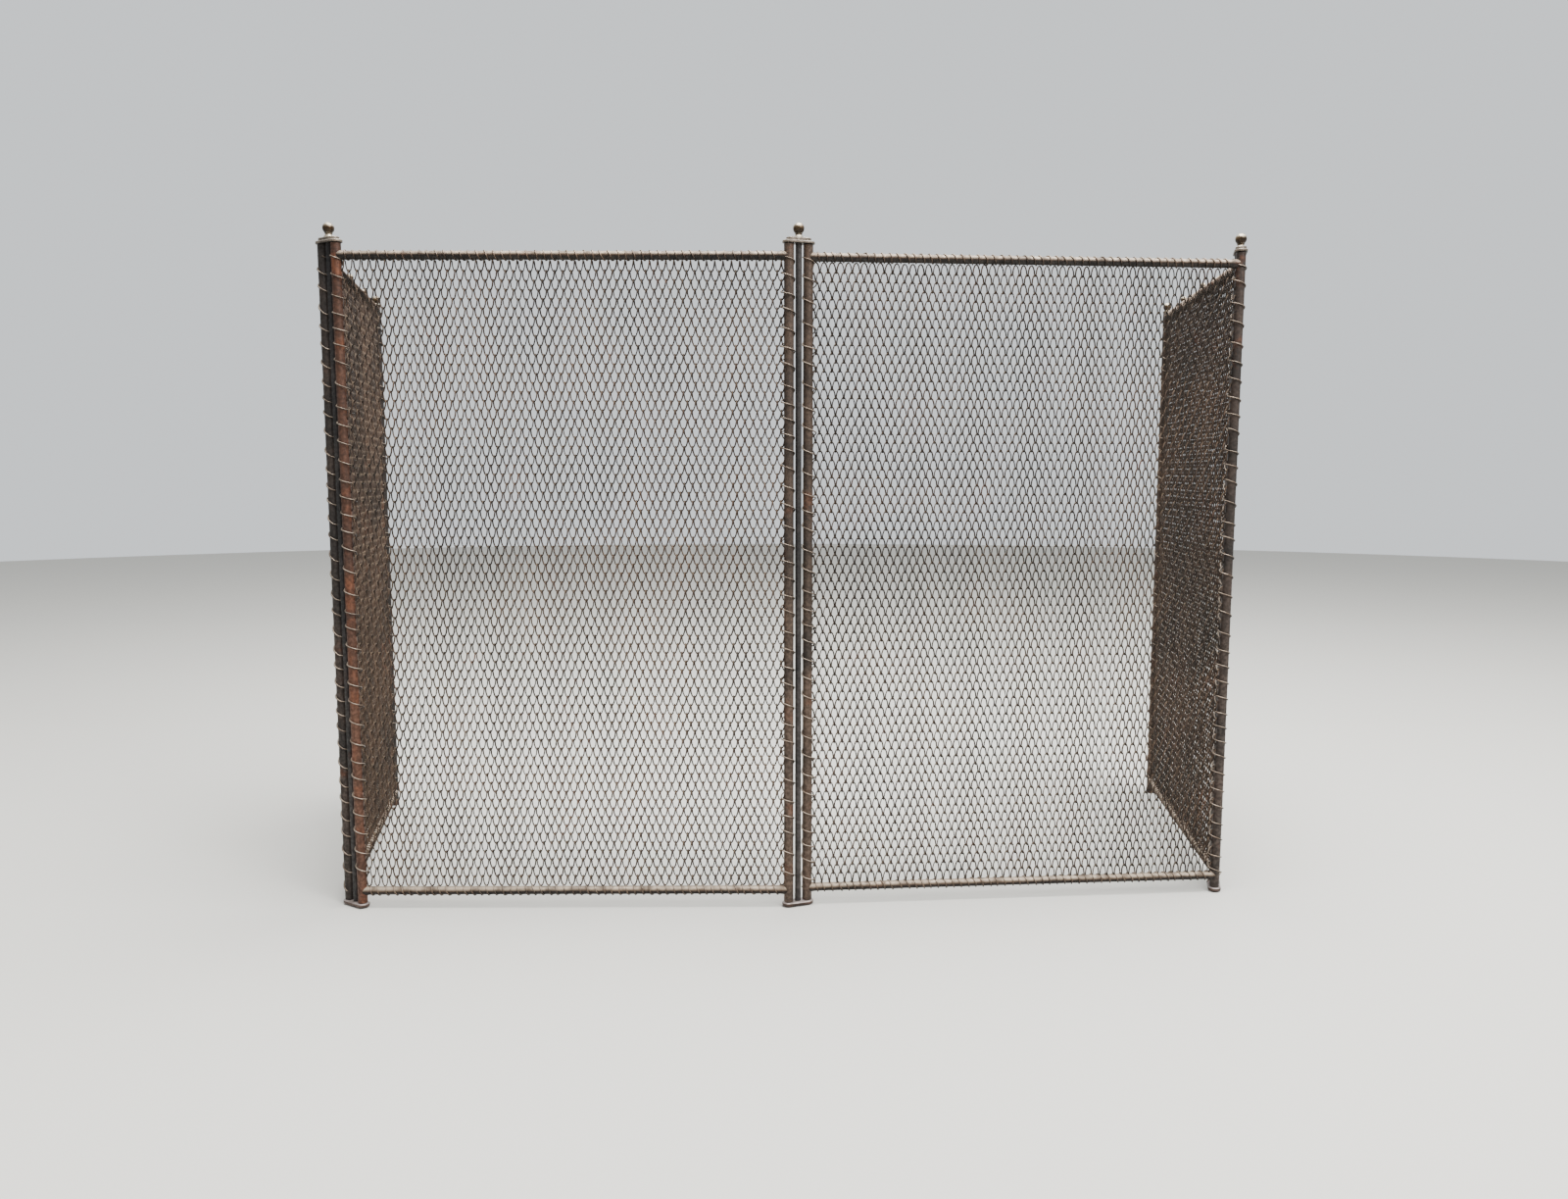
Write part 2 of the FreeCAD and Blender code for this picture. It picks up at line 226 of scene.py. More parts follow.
def repeat(piece, count, step, merge=False):
    """A row of copies a fixed step apart."""
    return modify(piece, "ARRAY", count=count, use_relative_offset=False, use_constant_offset=True,
                  constant_offset_displace=step, use_merge_vertices=merge,
                  merge_threshold=0.01 * MM)


print("wire helpers ready")

# %% [markdown]
# ## Skins of old iron
#
# The screen was once blackened, and decades of hands, heat and damp have changed it. Three
# layers tell that story: broad areas where the blacking has gone brown, a fine mottle inside
# them, and a red bloom of rust. A recipe of noise on the object's own coordinates gives all
# three at true scale, and needs no unwrapping. First come three small helpers for its nodes.

# %% Node helpers


def noise_in(tree, scale, detail, twist=0.0):
    """A noise pattern; its scale is in features per metre."""
    node = tree.nodes.new("ShaderNodeTexNoise")
    node.inputs["Scale"].default_value = scale
    node.inputs["Detail"].default_value = detail
    node.inputs["Distortion"].default_value = twist
    tree.links.new(tree.nodes["Texture Coordinate"].outputs["Object"], node.inputs["Vector"])
    return node.outputs["Fac"]


def ease(tree, value, low, high, start=0.0, end=1.0):
    """Turn a value's rise from low to high into a smooth rise from start to end."""
    node = tree.nodes.new("ShaderNodeMapRange")
    node.interpolation_type = "SMOOTHSTEP"
    numbers = {"From Min": low, "From Max": high, "To Min": start, "To Max": end}
    for socket, number in numbers.items():
        node.inputs[socket].default_value = number
    tree.links.new(value, node.inputs["Value"])
    return node.outputs["Result"]


def blend(tree, share, first, second):
    """Blend two colours by a share."""
    node = tree.nodes.new("ShaderNodeMix")
    node.data_type = "RGBA"
    tree.links.new(share, node.inputs["Factor"])
    for socket, colour in zip(("A", "B"), (first, second)):
        target = next(s for s in node.inputs if s.name == socket and s.type == "RGBA")
        if isinstance(colour, tuple):
            target.default_value = (*colour, 1)
        else:
            tree.links.new(colour, target)
    return next(s for s in node.outputs if s.type == "RGBA")


print("node helpers ready")

# %% [markdown]
# ## The patina recipe
#
# One function holds the whole recipe, and each finish is that recipe with its own colours.
# The tops of things are pale in patches and their undersides dark, so both depend on which way
# a surface faces. The pale tops are partly wear and partly a painted highlight; the dark
# undersides are partly soot that nobody wipes off and partly painted shade. Pits are real bump,
# so the light catches them, and the gloss varies with the mottle.

# %% Patina
SOOT_AND_SHADE_BAND = 0.8        # how gradually the soot and painted shade of undersides fade as a surface turns upward
WEAR_AND_HIGHLIGHT_BAND = 0.7        # how gradually wear and a painted highlight set in as a surface turns upward
PALE_PATCH_SCALE = 90         # patches per metre in the pale tops, which are wear plus a painted highlight
PIT_SCALE = 850        # pits per metre
PIT_DEPTH = 0.4 * MM


def patina(name, dark, brown, rust, wear_and_highlight_colour, rusty=0.3, wear_and_highlight=0.4, metal=0.35, gloss=(0.42, 0.7),
           broad=13, fine=260, pits=0.3, soot_and_shade=0.3, soot_and_shade_line=0.05, wear_and_highlight_line=0.2):
    """Old iron: blacking gone brown, red bloom, upper faces pale (use plus painted highlight),
    undersides dark (fire grime plus painted shade).
    """
    material = bpy.data.materials.new(name)
    material.use_nodes = True
    tree = material.node_tree
    shader = tree.nodes["Principled BSDF"]
    tree.nodes.new("ShaderNodeTexCoord")
    areas = ease(tree, noise_in(tree, broad, 5, 0.4), 0.34, 0.66)
    mottle = ease(tree, noise_in(tree, fine, 6), 0.35, 0.68)
    spots = noise_in(tree, broad * 2.1, 8, 0.8)
    bloom = ease(tree, spots, 0.66 - 0.3 * rusty, 0.92 - 0.3 * rusty)
    colour = blend(tree, areas, dark, brown)
    colour = blend(tree, bloom, colour, rust)
    shade = blend(tree, mottle, (0.60, 0.58, 0.56), (1.16, 1.13, 1.1))
    toned = tree.nodes.new("ShaderNodeVectorMath")
    toned.operation = "MULTIPLY"
    tree.links.new(colour, toned.inputs[0])
    tree.links.new(shade, toned.inputs[1])
    # Which way a surface faces sets two marks: a painted highlight with wear on top, and painted
    # shade with soot below.
    facing = tree.nodes.new("ShaderNodeSeparateXYZ")
    normal = tree.nodes.new("ShaderNodeNewGeometry").outputs["Normal"]
    tree.links.new(normal, facing.inputs["Vector"])
    # Undersides are darkened: partly soot, partly painted shade.
    sooted_and_shaded = tree.nodes.new("ShaderNodeVectorMath")
    sooted_and_shaded.operation = "SCALE"
    tree.links.new(toned.outputs["Vector"], sooted_and_shaded.inputs[0])
    soot_and_shade_factor = ease(tree, facing.outputs["Z"], soot_and_shade_line - SOOT_AND_SHADE_BAND, soot_and_shade_line, soot_and_shade, 1.0)
    tree.links.new(soot_and_shade_factor, sooted_and_shaded.inputs["Scale"])
    # Upward faces go pale in patches: partly wear, partly a painted highlight.
    worn_and_lit_share = tree.nodes.new("ShaderNodeMath")
    worn_and_lit_share.operation = "MULTIPLY"
    worn_and_lit_tops = ease(tree, facing.outputs["Z"], wear_and_highlight_line, wear_and_highlight_line + WEAR_AND_HIGHLIGHT_BAND, 0.0, wear_and_highlight)
    tree.links.new(worn_and_lit_tops, worn_and_lit_share.inputs[0])
    patches = ease(tree, noise_in(tree, PALE_PATCH_SCALE, 4), 0.34, 0.6, 0.3, 1.0)
    tree.links.new(patches, worn_and_lit_share.inputs[1])
    with_wear_and_highlight = blend(tree, worn_and_lit_share.outputs["Value"], sooted_and_shaded.outputs["Vector"], wear_and_highlight_colour)
    tree.links.new(with_wear_and_highlight, shader.inputs["Base Color"])
    tree.links.new(ease(tree, mottle, 0, 1, gloss[1], gloss[0]), shader.inputs["Roughness"])
    shader.inputs["Metallic"].default_value = metal
    relief = tree.nodes.new("ShaderNodeBump")
    relief.inputs["Strength"].default_value = pits
    relief.inputs["Distance"].default_value = PIT_DEPTH
    tree.links.new(noise_in(tree, PIT_SCALE, 6), relief.inputs["Height"])
    tree.links.new(relief.outputs["Normal"], shader.inputs["Normal"])
    return material


print("patina recipe ready")

# %% [markdown]
# ## The finishes
#
# Colours are kept close together, as on the real thing: near black, umber and a red-brown
# bloom. One post has gone redder than the others, the posts of the side panels are darker, and
# the tie rods have kept most of their blacking. The brass is dark below with dirt and painted
# shade, and pale on top with wear and a painted highlight.

# %% Mix the finishes
RUST = (0.150, 0.054, 0.026)
# The pale colour that most finishes give their upward faces: dust and wear with a painted
# highlight.
DUST_AND_HIGHLIGHT = (0.240, 0.190, 0.145)
# In each finish the pale top colour and its amount give wear with a painted highlight, and the
# underside amount gives soot with painted shade.
FINISHES = {
    "post_iron": patina(
        "post_iron", (0.037, 0.027, 0.021), (0.096, 0.064, 0.046), RUST, DUST_AND_HIGHLIGHT, 0.35),
    "rusty_iron": patina(
        "rusty_iron", (0.062, 0.029, 0.019), (0.132, 0.060, 0.036), (0.170, 0.060, 0.028), DUST_AND_HIGHLIGHT,
        0.6, gloss=(0.45, 0.7)),
    "dark_iron": patina(
        "dark_iron", (0.026, 0.021, 0.019), (0.060, 0.042, 0.034), RUST, DUST_AND_HIGHLIGHT, 0.2),
    "rod_iron": patina(
        "rod_iron", (0.021, 0.020, 0.021), (0.046, 0.040, 0.039), RUST, DUST_AND_HIGHLIGHT, 0.08),
    # Rails: the upper half is pale with wear and a painted highlight, the lower half dark with
    # soot and painted shade.
    "rail_iron": patina(
        "rail_iron", (0.040, 0.023, 0.015), (0.108, 0.064, 0.038), RUST, (0.50, 0.40, 0.30), 0.3,
        wear_and_highlight=0.9, metal=0.4, soot_and_shade=0.1, soot_and_shade_line=0.45, wear_and_highlight_line=-0.05),
    # Weave: the hook tops are pale with wear and a painted highlight.
    "mesh_wire": patina(
        "mesh_wire", (0.028, 0.016, 0.009), (0.080, 0.046, 0.027), RUST, (0.36, 0.26, 0.16), 0.2,
        wear_and_highlight=0.4, metal=0.15, gloss=(0.58, 0.78), broad=9, soot_and_shade_line=0.2),
    # Binding wire: pale tops with wear and a painted highlight.
    "binding_wire": patina(
        "binding_wire", (0.072, 0.048, 0.034), (0.195, 0.134, 0.096), RUST, (0.60, 0.49, 0.38),
        0.2, wear_and_highlight=0.75, metal=0.5, gloss=(0.32, 0.52), soot_and_shade=0.2, soot_and_shade_line=0.3, wear_and_highlight_line=0.1),
    # Caps: pale tops with wear and a painted highlight, dark undersides with soot and painted
    # shade.
    "cap_iron": patina(
        "cap_iron", (0.110, 0.092, 0.075), (0.240, 0.198, 0.160), RUST, (0.66, 0.59, 0.50), 0.15,
        wear_and_highlight=0.9, metal=0.5, gloss=(0.34, 0.6), broad=40, soot_and_shade=0.12, soot_and_shade_line=-0.1,
        wear_and_highlight_line=0.0),
    # Feet: pale tops with wear and a painted highlight, darker undersides with soot and painted
    # shade.
    "foot_iron": patina(
        "foot_iron", (0.042, 0.028, 0.023), (0.120, 0.080, 0.066), RUST, (0.60, 0.51, 0.47), 0.35,
        wear_and_highlight=0.85, metal=0.55, gloss=(0.3, 0.55), broad=40),
    # Brass: pale tops with wear and a painted highlight, dark undersides with dirt and painted
    # shade.
    "old_brass": patina(
        "old_brass", (0.055, 0.034, 0.019), (0.175, 0.115, 0.062), (0.10, 0.05, 0.02),
        (0.90, 0.80, 0.62), 0.3, wear_and_highlight=1.0, metal=0.7, gloss=(0.22, 0.42), broad=60, pits=0.15,
        soot_and_shade=0.25, soot_and_shade_line=0.3, wear_and_highlight_line=0.05),
    "pin_steel": patina(
        "pin_steel", (0.20, 0.19, 0.18), (0.34, 0.33, 0.31), RUST, DUST_AND_HIGHLIGHT, 0.05, metal=0.9,
        gloss=(0.25, 0.4)),
}


def finish(piece, name):
    """Give a piece one of the finishes."""
    piece.data.materials.clear()
    piece.data.materials.append(FINISHES[name])
    return piece


def fit(piece, body, skin, slot, *replaced):
    """The last step for every new piece: smooth it, skin it and hand it to its body."""
    finish(smooth(piece), skin)
    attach(piece, body)
    if replaced:
        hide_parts(*replaced)
    print(piece.name, len(piece.data.polygons), "faces")


print(len(FINISHES), "finishes mixed")

# %% [markdown]
# ## Finishes on the frame's own bars
#
# The bars and pins already have the right shape, so they only change their skin. A frame
# part's material goes into its slots, and its mesh is left alone.

# %% Skin the frame's own parts
ENDINGS = {
    "_post": "post_iron",
    "_rail": "rail_iron",
    "_tie_rod": "rod_iron",
    "_pins": "pin_steel",
}
SPECIAL = {
    "front_left_outer_post": "rusty_iron",
    "left_side_front_post": "dark_iron",
    "left_side_rear_post": "dark_iron",
    "right_side_front_post": "dark_iron",
    "front_right_outer_post": "dark_iron",
}
skinned = 0
for name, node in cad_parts.items():
    for ending, skin in ENDINGS.items():
        if name.endswith(ending):
            finish(node, SPECIAL.get(name, skin))
            skinned += 1
print("frame parts skinned:", skinned)

# %% [markdown]
# ## The weave
#
# The mesh is knitted from one wire per row. Each wire swings down in a round-bottomed loop,
# climbs, hooks over the bottom of the loop above and drops again, so every loop hangs on its
# neighbours. One loop is drawn here as a chain of points: it leaves its hook behind the sheet
# and arrives at the next one in front, which is what lets the wires pass each other. Its shape
# is a widened parabola, round at the bottom. An array repeats the loop along a row, a bevel gives
# it thickness, and a second array repeats a pair of rows, half a loop apart. Each row runs on a
# little into the posts, where the real one is bent round them.

# %% One loop and one row
LOOP_STEPS = (-1, -0.68, -0.4, -0.17, 0, 0.17, 0.4, 0.68, 1)
HALF_DEPTH = 2.6 * WIRE  # how far a hook stands in front of the sheet's middle, or behind it
FULLNESS = 0.3           # how much the loop is widened
HOOK = 2 * WIRE          # how far a hook rises past the loop that it holds


def loop_points(row_height):
    """One loop of the weave, from its left hook to its right hook."""
    tall = row_height + HOOK
    points = []
    for step in LOOP_STEPS:
        spread = step * (1 + FULLNESS * (1 - step ** 2))
        points.append((CELL / 2 * (1 + spread), -HALF_DEPTH * step, tall * step ** 2))
    points.append((CELL, HALF_DEPTH, tall))
    return points


def row_of_wire(name, loops, row_height, start):
    """A whole row: the loop repeated, given thickness and set at its start."""
    row = repeat(chain(name, loop_points(row_height)), loops, (CELL, 0, 0), merge=True)
    return settle(thicken(row, WIRE), Matrix.Translation(start))


print("points in a loop:", len(loop_points(10 * MM)))

# %% [markdown]
# ## From rows to a sheet
#
# Rows come in pairs, the second half a loop to the side. The pair is repeated up the panel in
# two stages, so that no single piece grows too heavy. Two of the panels were hung the other
# way up, with their loops arched at the top, so their finished sheets are simply turned over.

# %% One panel's weave


def weave(name, width, low, high, rows, flipped):
    """A panel's weave in two pieces, between two heights."""
    loops = math.ceil((width - 2 * post_radius) / CELL)
    side = (width - loops * CELL) / 2
    row_height = (high - low - HOOK) / rows
    first = row_of_wire(name, loops, row_height, (0, 0, 0))
    second = row_of_wire(name, loops + 1, row_height, (-CELL / 2, 0, row_height))
    upper = join([first, second], name + "_upper")
    lower = copy_of(upper, name + "_lower")
    lower_pairs = rows // 4
    upper_pairs = rows // 2 - lower_pairs
    sheets = []
    for sheet, pairs, below in ((upper, upper_pairs, lower_pairs), (lower, lower_pairs, 0)):
        repeat(sheet, pairs, (0, 0, 2 * row_height))
        settle(sheet, Matrix.Translation((side, 0, low + 2 * row_height * below)))
        if flipped:
            over = Matrix.Translation((width, 0, low + high)) @ Matrix.Rotation(math.pi, 4, "Y")
            settle(sheet, over)
        sheets.append(sheet)
    return sheets


# %% [markdown]
# ## Hand work shows
#
# Nothing woven by hand is even. A cloud texture pushes the wires about by up to a millimetre,
# slowly across the sheet, which bends whole groups of loops the way a slack weave does.

# %% The four sheets
SLACK = 2.0 * MM
slack = bpy.data.textures.new("slack", "CLOUDS")
slack.noise_scale = 0.05
slack.cloud_type = "COLOR"

for name, (body, _, _, rows, flipped) in PANELS.items():
    place, width = panel_place(name)
    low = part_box(name + "_bottom_rail")[1].z + WIRE
    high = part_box(name + "_top_rail")[0].z - WIRE
    for sheet in weave(name + "_weave", width, low, high, rows, flipped):
        settle(sheet, place)
        modify(sheet, "DISPLACE", texture=slack, direction="RGB_TO_XYZ", texture_coords="LOCAL",
               strength=SLACK, mid_level=0.5)
        fit(sheet, body, "mesh_wire", "mesh_wire", name + "_mesh")

# %% [markdown]
# ## Wound wire
#
# The weave is bound to every bar by a wound wire: once per loop along the rails, and in long
# uneven turns down the posts. A winding crosses the front of its bar at a slant and makes up
# the rest of its travel behind. One function gives the points of one turn on a bench bar that
# lies along X, and both kinds of winding are made of such turns.

# %% One turn


def one_turn(start, pitch, radius, front=0.45, steps=12, hand=1, reach=0.0, reach_angle=0.0):
    """The points of one turn, from one side of the bar over its front and back behind it."""
    points = []
    half = steps // 2
    travelled = start
    for number in range(steps):
        angle = 2 * math.pi * number / steps
        out = radius + reach * max(0.0, math.cos(angle - reach_angle)) ** 2
        points.append((travelled, -out * math.sin(angle), hand * out * math.cos(angle)))
        share = front if number < half else 1 - front
        travelled += pitch * share / half
    return points


print("a turn of", len(one_turn(0, CELL, rail_radius)), "points")

# %% [markdown]
# ## Winding the rails
#
# A rail's winding keeps the pitch of the weave, because it passes through every loop. One turn
# is drawn and repeated, and a fine cloud texture pushes the turns along the rail by different
# amounts before the line is thickened, so that no two sit alike.

# %% Rail windings
SHIFT = 6 * MM
uneven = bpy.data.textures.new("uneven", "CLOUDS")
uneven.noise_scale = 0.016

for name, (body, *_) in PANELS.items():
    place, width = panel_place(name)
    turns = math.floor((width - 2 * post_radius - 2 * MM) / CELL)
    side = (width - turns * CELL) / 2
    for rail in ("top_rail", "bottom_rail"):
        piece_name = f"{name}_{rail}_winding"
        points = one_turn(0, CELL, rail_radius + SEAT)
        points.append((CELL, points[0][1], points[0][2]))
        line = repeat(chain(piece_name, points), turns, (CELL, 0, 0), merge=True)
        settle(line, Matrix.Translation((side, 0, middle(f"{name}_{rail}").z)))
        modify(line, "DISPLACE", texture=uneven, direction="X", texture_coords="LOCAL",
               strength=SHIFT, mid_level=0.5)
        winding = settle(thicken(line, BINDING, sides=6), place)
        fit(winding, body, "binding_wire", "lacing_wire")

# %% [markdown]
# ## Lacing the posts
#
# Down a post the turns are longer and far from even. Each one reaches out past the post on the
# side of the weave, where it hooks through a loop. Every turn draws its own pitch, tightness
# and reach from the seeded source. The bench bar lies along X, so the finished lacing is stood
# up, with the start at the top.

# %% Post lacings
PITCH = 21 * MM


def lacing_points(length, mesh_side):
    """The points of one post's lacing, along X from its top end."""
    points = []
    travelled = 0.0
    while travelled < length:
        pitch = PITCH * DRAW.uniform(0.76, 1.24)
        radius = post_radius + SEAT + DRAW.uniform(0.0, 0.3) * MM
        reach = DRAW.uniform(2.0, 3.6) * MM if travelled else 0.0
        points += one_turn(travelled, pitch, radius, front=0.33, steps=16, hand=-1,
                           reach=reach, reach_angle=mesh_side)
        travelled += pitch
    return points


def lace_post(name, post, along, mesh_on_right, place, body):
    """Wind one post and put it in its place."""
    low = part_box(name + "_bottom_rail")[1].z + 2 * MM
    high = middle(name + "_top_rail").z
    node = f"{name}_{post.replace('post', 'lacing')}"
    mesh_side = math.pi if mesh_on_right else 0.0
    line = chain(node + "_wire", lacing_points(high - low, mesh_side))
    upright = Matrix.Translation((along, 0, high)) @ Matrix.Rotation(math.pi / 2, 4, "Y")
    lacing = settle(thicken(line, BINDING, sides=6), place @ upright)
    fit(lacing, body, "binding_wire", "lacing_wire", node)


for name, (body, near, far, *_) in PANELS.items():
    place, width = panel_place(name)
    lace_post(name, near, 0.0, True, place, body)
    lace_post(name, far, width, False, place, body)

# %% [markdown]
# ## Turned work
#
# Round fittings are turned on a lathe, and Spin does the same: a half outline goes once round
# an axis. The seam is merged and the normals are set outward afterwards. An outline here is a
# list of radius and height pairs, with round stretches worked out by a formula.

# %% The lathe
LATHE_STEPS = 32
BALL_STEPS = 16


def turned(name, outline):
    """Turn an outline of radius and height pairs about the Z axis."""
    piece = chain(name, [(radius, 0, height) for radius, height in outline])
    bpy.ops.object.mode_set(mode="EDIT")
    bpy.ops.mesh.select_all(action="SELECT")
    bpy.ops.mesh.spin(steps=LATHE_STEPS, angle=2 * math.pi, center=(0, 0, 0), axis=(0, 0, 1))
    bpy.ops.mesh.select_all(action="SELECT")
    bpy.ops.mesh.remove_doubles(threshold=0.005 * MM)
    bpy.ops.mesh.normals_make_consistent(inside=False)
    bpy.ops.object.mode_set(mode="OBJECT")
    return piece


def ball_outline(radius, centre, neck):
    """The outline of a ball from the neck that it sits on to its top."""
    start = math.asin(neck / radius)
    points = []
    for number in range(BALL_STEPS + 1):
        angle = start + (math.pi - start) * number / BALL_STEPS
        points.append((radius * math.sin(angle), centre - radius * math.cos(angle)))
    points[-1] = (0, centre + radius)
    return points


def profile(base, *pairs):
    """Outline points from radius and height pairs in millimetres, above a base."""
    return [(radius * MM, base + height * MM) for radius, height in pairs]


print("a ball outline has", len(ball_outline(6 * MM, 0, 3 * MM)), "points")

# %% [markdown]
# ## Brass finials on the links
#
# Each link carries a ball on a flared neck. The frame gives the ball's size and where the cap
# below ends, and the neck's curve is drawn between the two: a foot with a worn edge, a hollow
# flare, and a thin bead just under the ball.

# %% Link finials
LINKS = ("centre_link", "left_link", "right_link")
for link in LINKS:
    centre = middle(link + "_finial")
    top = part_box(link + "_finial")[1].z
    radius = extent(link + "_finial").x / 2
    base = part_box(link + "_top_cap")[1].z
    outline = profile(base, (0, -1), (4.7, -1), (5.2, 0.2), (5.0, 0.9), (4.3, 1.8), (3.8, 3.0),
                      (3.7, 3.9), (4.2, 4.2), (4.3, 4.6), (4.0, 5.0))
    outline += ball_outline(radius, top - radius, 3.95 * MM)
    finial = turned(link + "_ball_finial", outline)
    settle(finial, Matrix.Translation((centre.x, centre.y, 0)))
    smooth(finial, 50)
    fit(finial, link, "old_brass", "finial_brass", link + "_finial")

# %% [markdown]
# ## Finials and knobs on the side panels
#
# The free end posts carry smaller balls on a collar, and each side rail has two little knobs
# that sit straight on it. They are the same turned work with other sizes, and a knob's
# outline starts inside the rail so that no gap shows.

# %% End finials and knobs
END_BALL = 6.0 * MM
KNOB_BALL = 4.6 * MM
KNOB_PLACES = (180 * MM, 295 * MM)


def end_outline(post_top, top):
    """A collar, a short waist and a ball."""
    base = post_top - 0.4 * MM
    points = profile(base, (0, 0), (5.9, 0), (6.2, 0.7), (6.1, 1.7), (5.2, 2.3), (4.2, 2.9),
                     (3.8, 3.8))
    return points + ball_outline(END_BALL, top - END_BALL, 3.9 * MM)


def knob_outline(rail_height, top):
    """A short stem with a washer, and a ball."""
    seat = rail_height + rail_radius
    points = profile(seat, (0, -2), (3.1, -2), (3.3, 0.3), (2.4, 0.6))
    return points + ball_outline(KNOB_BALL, top - KNOB_BALL, 2.4 * MM)


for name in ("left_side", "right_side"):
    place, width = panel_place(name)
    body = PANELS[name][0]
    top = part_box(name + "_end_finial")[1].z
    ending = turned(name + "_end_ball", end_outline(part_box(name + "_rear_post")[1].z, top))
    smooth(settle(ending, place @ Matrix.Translation((width, 0, 0))), 50)
    fit(ending, body, "old_brass", "finial_brass", name + "_end_finial")
    knobs = []
    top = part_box(name + "_rail_knobs")[1].z
    for along in KNOB_PLACES:
        knob = turned(f"{name}_knob", knob_outline(middle(name + "_top_rail").z, top))
        knobs.append(settle(knob, place @ Matrix.Translation((along, 0, 0))))
    pair = join(knobs, name + "_rail_balls")
    fit(pair, body, "old_brass", "finial_brass", name + "_rail_knobs")

# %% [markdown]
# ## Caps and feet
#
# The link's caps are oblong plates with round ends. A cylinder becomes one when its two
# halves are pulled apart. Bevels take the edges off, and a little cloud displacement leaves
# them as old plates are: dented, and never quite flat.

# %% An oblong plate
worn_edge = bpy.data.textures.new("worn_edge", "CLOUDS")
worn_edge.noise_scale = 0.009


def oblong(name, radius, spacing, low, high, bottom, top):
    """A plate with round ends along X, its lower and upper edges rounded by two radii."""
    bpy.ops.object.select_all(action="DESELECT")
    sides = 48
    bpy.ops.mesh.primitive_cylinder_add(
        vertices=sides, radius=radius, depth=high - low, location=(0, 0, (low + high) / 2),
        rotation=(0, 0, math.pi / sides))
    plate = named(bpy.context.active_object, name)
    bpy.ops.object.transform_apply(location=True, rotation=True, scale=True)
    for side in (-1, 1):
        bpy.ops.object.mode_set(mode="EDIT")
        bpy.ops.mesh.select_all(action="DESELECT")
        bpy.ops.object.mode_set(mode="OBJECT")
        for vertex in plate.data.vertices:
            vertex.select = vertex.co.x * side > 0
        bpy.ops.object.mode_set(mode="EDIT")
        bpy.ops.transform.translate(value=(side * spacing / 2, 0, 0))
    bpy.ops.object.mode_set(mode="OBJECT")
    for height, width in ((low, bottom), (high, top)):
        round_edge(plate, height, width)
    return plate


def round_edge(plate, height, width):
    """Round the rim of a plate at one height."""
    bpy.ops.object.mode_set(mode="EDIT")
    bpy.ops.mesh.select_mode(type="EDGE")
    bpy.ops.mesh.select_all(action="DESELECT")
    bpy.ops.object.mode_set(mode="OBJECT")
    for edge in plate.data.edges:
        ends = [plate.data.vertices[index].co.z for index in edge.vertices]
        edge.select = all(abs(z - height) < 0.01 * MM for z in ends)
    bpy.ops.object.mode_set(mode="EDIT")
    bpy.ops.mesh.bevel(offset=width, segments=4, affect="EDGES")
    bpy.ops.mesh.select_mode(type="VERT")
    bpy.ops.object.mode_set(mode="OBJECT")


def batter(piece, depth):
    """Push a piece's surface in and out by a little."""
    return modify(piece, "DISPLACE", texture=worn_edge, direction="NORMAL",
                  texture_coords="LOCAL", strength=depth, mid_level=0.5)


print("plate helpers ready")

# %% [markdown]
# ## Setting the plates on the links
#
# A link lies along the line between the two posts that it joins, so their boxes give its middle
# and its length, and the frame's caps give its heights. The top cap is a flange with a shorter
# boss on it, and the foot is thicker with a well rounded underside that lets it slide over the
# hearth.

# %% Top caps and feet
LINK_TURNS = {
    "centre_link": ("front_left_inner_post", "front_right_inner_post"),
    "left_link": ("front_left_outer_post", "left_side_front_post"),
    "right_link": ("front_right_outer_post", "right_side_front_post"),
}
BOSS_HEIGHT = 3.5 * MM
BOSS_ROOT = 0.8 * MM     # how far the boss runs down into the flange
BOSS_SHORTER = 5.8 * MM
CAP_DENTS = 0.25 * MM
FOOT_DENTS = 0.3 * MM

for link, (first, second) in LINK_TURNS.items():
    start, end = middle(first), middle(second)
    spacing = math.hypot(end.x - start.x, end.y - start.y)
    place = bench_to(start, end) @ Matrix.Translation((spacing / 2, 0, 0))
    low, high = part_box(link + "_top_cap")[0].z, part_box(link + "_top_cap")[1].z
    step = high - BOSS_HEIGHT
    flange = oblong(link + "_flange", post_radius + 1.8 * MM, spacing, low, step,
                    0.4 * MM, 0.8 * MM)
    boss = oblong(link + "_boss", post_radius + 0.4 * MM, spacing - BOSS_SHORTER,
                  step - BOSS_ROOT, high, 0.3 * MM, 0.8 * MM)
    cap = settle(batter(join([flange, boss], link + "_cap_plate"), CAP_DENTS), place)
    smooth(cap, 35)
    fit(cap, link, "cap_iron", "link_cap", link + "_top_cap")
    low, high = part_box(link + "_foot_cap")[0].z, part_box(link + "_foot_cap")[1].z
    foot = oblong(link + "_foot_plate", post_radius + 2.1 * MM, spacing, low, high,
                  3.0 * MM, 1.6 * MM)
    settle(batter(foot, FOOT_DENTS), place)
    fit(foot, link, "foot_iron", "foot_cap", link + "_foot_cap")

# %% [markdown]
# ## Brazed corners
#
# Where a rail meets a post, brass was run round the joint and left a thin sleeve that fades out
# along the rail. It is turned like the finials, laid on its side with one end inside the post,
# and battered a little, because braze never sets evenly.

# %% Braze beads
BRAZE_DENTS = 0.7 * MM


def bead_outline():
    """A sleeve from inside the post out along the rail, closed at both ends."""
    return profile(0, (0, 0.5), (5.2, 0.5), (5.35, 2.5), (5.4, 4.5), (5.4, 6.2), (5.25, 7.2),
                   (5.05, 8.2), (4.93, 9.4), (4.86, 10.6), (4.6, 11.2), (0, 11.2))


